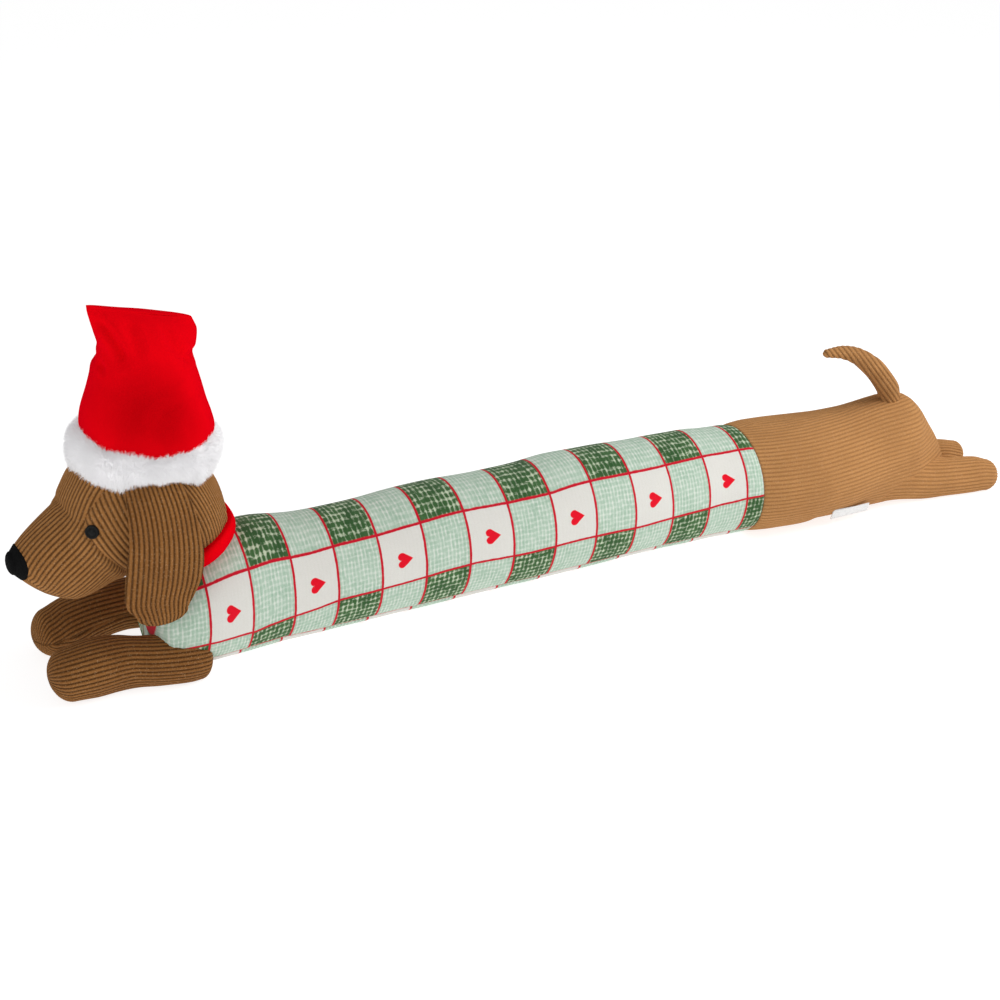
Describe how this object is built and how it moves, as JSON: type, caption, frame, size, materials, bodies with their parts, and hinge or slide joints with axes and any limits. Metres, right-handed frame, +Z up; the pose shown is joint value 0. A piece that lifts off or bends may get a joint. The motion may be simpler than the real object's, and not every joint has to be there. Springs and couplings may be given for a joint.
{
  "type": "draught excluder",
  "caption": "Long stuffed dog-shaped draught excluder in brown corduroy with a checked heart-print sleeve, red collar and a red fur-trimmed hat.",
  "frame": {"origin": "on the floor, under the middle of the bounding box", "axes": "+X from the head to the tail along the body, +Y to the dog's right, +Z up"},
  "size_m": [0.9413, 0.143, 0.313],
  "materials": {
    "corduroy": "matte ribbed pile, wales along each piece",
    "check_print": "short smooth pile, printed check in greens, white and red",
    "red_plush": "short velvety pile with sheen",
    "white_fur": "soft short fur",
    "black_felt": "matte felt",
    "black_plastic": "gloss",
    "white_tape": "smooth woven tape, blank"
  },
  "bodies": {
    "root": {"sleeve": "check_print", "rump": "corduroy", "tail": "corduroy", "front_leg_left": "corduroy", "front_leg_right": "corduroy", "head_front": "corduroy", "head_left": "corduroy", "head_right": "corduroy", "ear_left": "corduroy", "ear_right": "corduroy", "nose": "black_felt", "eye_left": "black_plastic", "eye_right": "black_plastic", "collar": "red_plush", "hat_crown": "red_plush", "hat_trim": "white_fur", "seam_label": "white_tape"}
  },
  "joints": []
}
